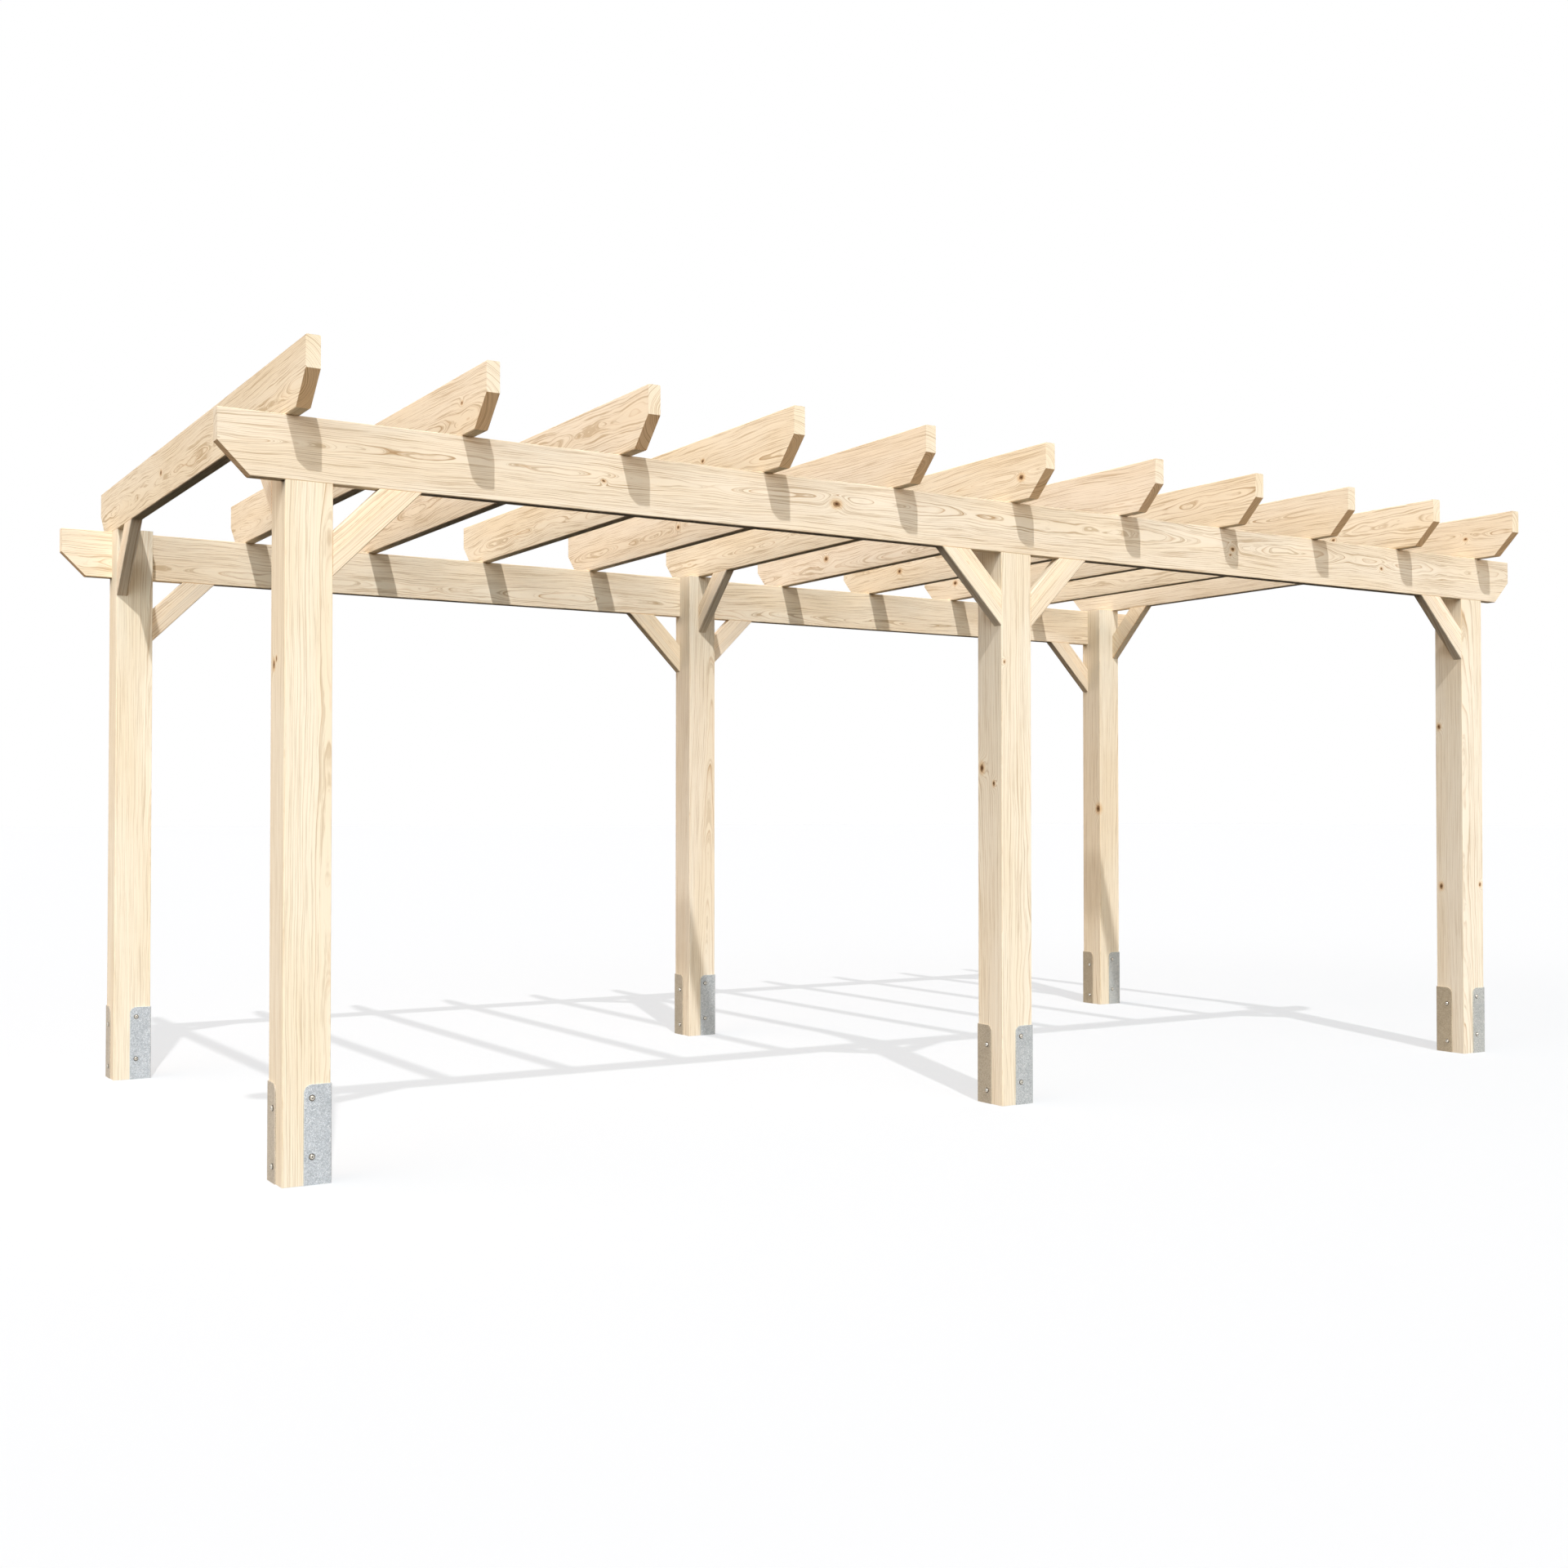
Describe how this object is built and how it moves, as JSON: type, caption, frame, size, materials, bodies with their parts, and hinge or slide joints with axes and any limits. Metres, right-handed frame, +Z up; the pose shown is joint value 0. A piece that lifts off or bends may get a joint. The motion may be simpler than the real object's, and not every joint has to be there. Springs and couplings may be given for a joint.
{
  "type": "timber pergola",
  "caption": "Free-standing open timber pergola: square posts with flush beams, rafters laid across with sloped ends, short corner braces and steel brackets at the feet.",
  "frame": {"origin": "on the ground under the middle of the frame", "axes": "+X along the beams to the right as seen from the front, +Y from front to rear along the rafters, +Z up"},
  "size_m": [6, 3, 2.495],
  "materials": {
    "timber": "planed, untreated spruce",
    "galvanised_steel": "hot-dip galvanised"
  },
  "bodies": {
    "root": {"post_front_left": "timber", "foot_bracket_front_left_front": "galvanised_steel", "foot_bracket_front_left_rear": "galvanised_steel", "post_front_middle": "timber", "foot_bracket_front_middle_front": "galvanised_steel", "foot_bracket_front_middle_rear": "galvanised_steel", "post_front_right": "timber", "foot_bracket_front_right_front": "galvanised_steel", "foot_bracket_front_right_rear": "galvanised_steel", "post_rear_left": "timber", "foot_bracket_rear_left_front": "galvanised_steel", "foot_bracket_rear_left_rear": "galvanised_steel", "post_rear_middle": "timber", "foot_bracket_rear_middle_front": "galvanised_steel", "foot_bracket_rear_middle_rear": "galvanised_steel", "post_rear_right": "timber", "foot_bracket_rear_right_front": "galvanised_steel", "foot_bracket_rear_right_rear": "galvanised_steel", "beam_front": "timber", "beam_rear": "timber", "rafter_01": "timber", "rafter_02": "timber", "rafter_03": "timber", "rafter_04": "timber", "rafter_05": "timber", "rafter_06": "timber", "rafter_07": "timber", "rafter_08": "timber", "rafter_09": "timber", "rafter_10": "timber", "rafter_11": "timber", "beam_brace_front_left_right": "timber", "beam_brace_front_middle_left": "timber", "beam_brace_front_middle_right": "timber", "beam_brace_front_right_left": "timber", "rafter_brace_front_left": "timber", "rafter_brace_front_middle": "timber", "rafter_brace_front_right": "timber", "beam_brace_rear_left_right": "timber", "beam_brace_rear_middle_left": "timber", "beam_brace_rear_middle_right": "timber", "beam_brace_rear_right_left": "timber", "rafter_brace_rear_left": "timber", "rafter_brace_rear_middle": "timber", "rafter_brace_rear_right": "timber"}
  },
  "joints": []
}
